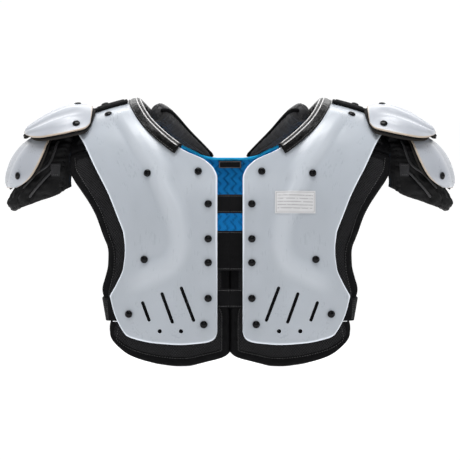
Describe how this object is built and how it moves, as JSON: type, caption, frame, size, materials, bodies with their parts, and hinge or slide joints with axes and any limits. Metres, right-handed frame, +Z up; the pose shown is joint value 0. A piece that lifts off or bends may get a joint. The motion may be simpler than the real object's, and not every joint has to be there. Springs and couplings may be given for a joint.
{
  "type": "padded sports shoulder protector",
  "caption": "Pair of hinged plastic shoulder and chest protector halves with foam pads, neck binding, epaulets, arm cups and elastic chest straps.",
  "frame": {"origin": "middle of the bounding box at the level of the lowest pad edges", "axes": "+Z up, the chest faces -Y, +X is the wearer's left"},
  "size_m": [0.568, 0.256, 0.3386],
  "materials": {
    "shell_plastic": "milky translucent, satin gloss",
    "cap_plastic": "milky translucent, satin gloss",
    "anchor_plastic": "milky translucent, satin gloss",
    "rivet_plastic": "black, slightly glossy dome",
    "washer_steel": "plain",
    "padded_webbing": "black woven",
    "binding_vinyl": "black glossy creased vinyl with piping",
    "cushion_nylon": "charcoal satin nylon",
    "pad_mesh": "black air mesh over foam",
    "elastic_webbing": "black ribbed elastic",
    "webbing": "black flat webbing",
    "grey_webbing": "grey webbing",
    "arm_fabric": "black creased nylon over foam",
    "edge_foam": "black fabric faced foam",
    "liner_mesh_blue": "blue quilted mesh",
    "woven_tab": "black woven tab, blank",
    "label_film": "white film with plain ruled lines",
    "bridge_plastic": "black"
  },
  "bodies": {
    "spine": {"back_liner": "liner_mesh_blue", "collar_tab": "woven_tab", "front_strap_upper": "webbing", "front_elastic_band": "elastic_webbing", "front_strap_lower": "webbing", "rear_strap_upper": "webbing", "rear_strap_lower": "webbing", "rear_bridge": "bridge_plastic"},
    "half_l": {"arch_shell_l": "shell_plastic", "arch_rivets_l": "rivet_plastic", "rivet_washers_l": "washer_steel", "crest_strap_l": "padded_webbing", "crest_rivet_l": "rivet_plastic", "neck_binding_l": "binding_vinyl", "neck_cushion_l": "cushion_nylon", "front_pad_l": "pad_mesh", "back_pad_l": "pad_mesh", "shoulder_pad_l": "pad_mesh", "side_strap_l": "elastic_webbing", "side_anchor_front_l": "anchor_plastic", "side_anchor_back_l": "anchor_plastic", "plate_label": "label_film"},
    "cup_l": {"cup_shell_l": "cap_plastic", "cup_liner_l": "edge_foam", "cup_rivets_l": "rivet_plastic", "cup_strap_l": "webbing", "arm_pad_l": "arm_fabric", "arm_tab_l": "grey_webbing"},
    "epaulet_l": {"epaulet_shell_l": "cap_plastic", "epaulet_liner_l": "edge_foam", "epaulet_rivets_l": "rivet_plastic"},
    "half_r": {"arch_shell_r": "shell_plastic", "arch_rivets_r": "rivet_plastic", "rivet_washers_r": "washer_steel", "crest_strap_r": "padded_webbing", "crest_rivet_r": "rivet_plastic", "neck_binding_r": "binding_vinyl", "neck_cushion_r": "cushion_nylon", "front_pad_r": "pad_mesh", "back_pad_r": "pad_mesh", "shoulder_pad_r": "pad_mesh", "side_strap_r": "elastic_webbing", "side_anchor_front_r": "anchor_plastic", "side_anchor_back_r": "anchor_plastic"},
    "cup_r": {"cup_shell_r": "cap_plastic", "cup_liner_r": "edge_foam", "cup_rivets_r": "rivet_plastic", "cup_strap_r": "webbing", "arm_pad_r": "arm_fabric", "arm_tab_r": "grey_webbing"},
    "epaulet_r": {"epaulet_shell_r": "cap_plastic", "epaulet_liner_r": "edge_foam", "epaulet_rivets_r": "rivet_plastic"}
  },
  "joints": [
    {"name": "half_l_open", "type": "hinge", "parent": "spine", "child": "half_l", "pos_m": [0, 0.122, 0.15], "axis": [0, 0, 1], "range_deg": [0, 5], "stiffness_Nm_per_rad": 3, "deforming": ["back_liner", "front_strap_upper", "front_elastic_band", "front_strap_lower", "rear_strap_upper", "rear_strap_lower"]},
    {"name": "cup_l_raise", "type": "hinge", "parent": "half_l", "child": "cup_l", "pos_m": [0.172, 0, 0.334], "axis": [0, -1, 0], "range_deg": [0, 50]},
    {"name": "epaulet_l_lift", "type": "hinge", "parent": "cup_l", "child": "epaulet_l", "pos_m": [0.172, 0, 0.334], "axis": [0, -1, 0], "range_deg": [0, 60]},
    {"name": "half_r_open", "type": "hinge", "parent": "spine", "child": "half_r", "pos_m": [0, 0.122, 0.15], "axis": [0, 0, -1], "range_deg": [0, 5], "stiffness_Nm_per_rad": 3, "deforming": ["back_liner", "front_strap_upper", "front_elastic_band", "front_strap_lower", "rear_strap_upper", "rear_strap_lower"]},
    {"name": "cup_r_raise", "type": "hinge", "parent": "half_r", "child": "cup_r", "pos_m": [-0.172, 0, 0.334], "axis": [0, 1, 0], "range_deg": [0, 50]},
    {"name": "epaulet_r_lift", "type": "hinge", "parent": "cup_r", "child": "epaulet_r", "pos_m": [-0.172, 0, 0.334], "axis": [0, 1, 0], "range_deg": [0, 60]}
  ]
}
